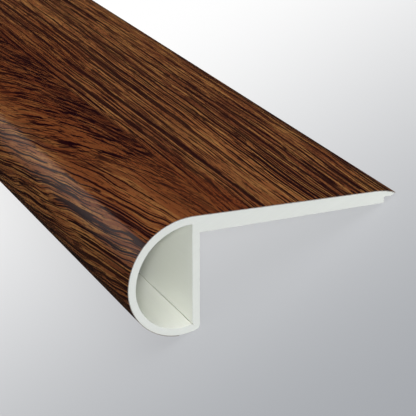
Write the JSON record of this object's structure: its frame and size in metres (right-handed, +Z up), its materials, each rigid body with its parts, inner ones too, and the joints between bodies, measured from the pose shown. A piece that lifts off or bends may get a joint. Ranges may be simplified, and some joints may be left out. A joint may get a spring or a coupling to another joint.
{
  "type": "stair nosing",
  "caption": "Length of hollow extruded PVC stair nosing: rounded nose, web, tapering tread flange, thin lap lip, and a wood-print film over the show face.",
  "frame": {"origin": "on the floor, under the middle of the length and of the resting section's box", "axes": "+Y along the length, +X from the nose towards the lip as the length lies, +Z up from the floor it rests on; the tread face leans 27.35 degrees down towards +X"},
  "size_m": [0.0708, 2.388, 0.0277],
  "materials": {
    "white_pvc": "matte",
    "wood_print_film": "satin"
  },
  "bodies": {
    "root": {"pvc_profile": "white_pvc", "wood_grain_film": "wood_print_film"}
  },
  "joints": []
}
